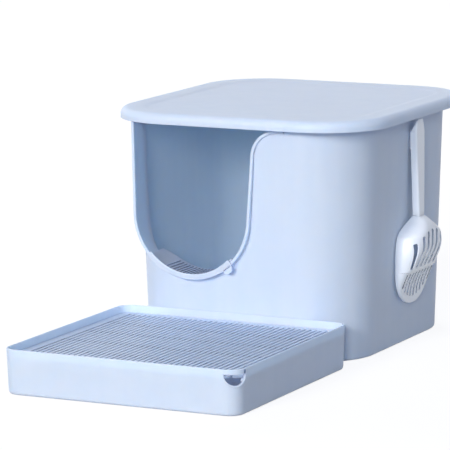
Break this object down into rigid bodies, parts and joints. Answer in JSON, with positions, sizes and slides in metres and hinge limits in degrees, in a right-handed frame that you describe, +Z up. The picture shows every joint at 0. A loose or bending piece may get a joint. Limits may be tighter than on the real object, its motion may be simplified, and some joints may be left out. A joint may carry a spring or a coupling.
{
  "type": "litter box",
  "caption": "Deep plastic cat litter tub with a U-shaped side entry, flat lift-off lid, hanging slotted scoop and a low step tray with a lift-out grate.",
  "frame": {"origin": "centre of the tub's flat underside, on the floor", "axes": "+Z up, the front with the entry and the step tray faces -Y, +X to the right where the scoop hangs"},
  "size_m": [0.4959, 0.9005, 0.408],
  "materials": {
    "shell_plastic": "satin moulded",
    "scoop_plastic": "satin moulded",
    "pad_rubber": "matte"
  },
  "bodies": {
    "tub": {"tub": "shell_plastic", "entry_trim": "shell_plastic", "scoop_hook": "shell_plastic", "tub_pad_front_left": "pad_rubber", "tub_pad_front_right": "pad_rubber", "tub_pad_rear_left": "pad_rubber", "tub_pad_rear_right": "pad_rubber"},
    "lid": {"lid": "shell_plastic"},
    "sill": {"entry_sill": "shell_plastic"},
    "scoop": {"scoop": "scoop_plastic"},
    "tray": {"step_tray": "shell_plastic", "tray_pad_front_left": "pad_rubber", "tray_pad_front_right": "pad_rubber", "tray_pad_rear_left": "pad_rubber", "tray_pad_rear_right": "pad_rubber"},
    "grate": {"tray_grate": "shell_plastic"}
  },
  "joints": [
    {"name": "lid_lift", "type": "slide", "parent": "tub", "child": "lid", "axis": [0, 0, 1], "range_m": [0, 0.12]},
    {"name": "sill_lift", "type": "slide", "parent": "tub", "child": "sill", "axis": [0, 0, 1], "range_m": [0, 0.06]},
    {"name": "scoop_swing", "type": "hinge", "parent": "tub", "child": "scoop", "pos_m": [0.222, 0.017, 0.3492], "axis": [1, 0, 0], "range_deg": [-20, 20]},
    {"name": "tray_pull", "type": "slide", "parent": "tub", "child": "tray", "axis": [0, -1, 0], "range_m": [0, 0.25]},
    {"name": "grate_lift", "type": "slide", "parent": "tray", "child": "grate", "axis": [0, 0, 1], "range_m": [0, 0.06]}
  ]
}
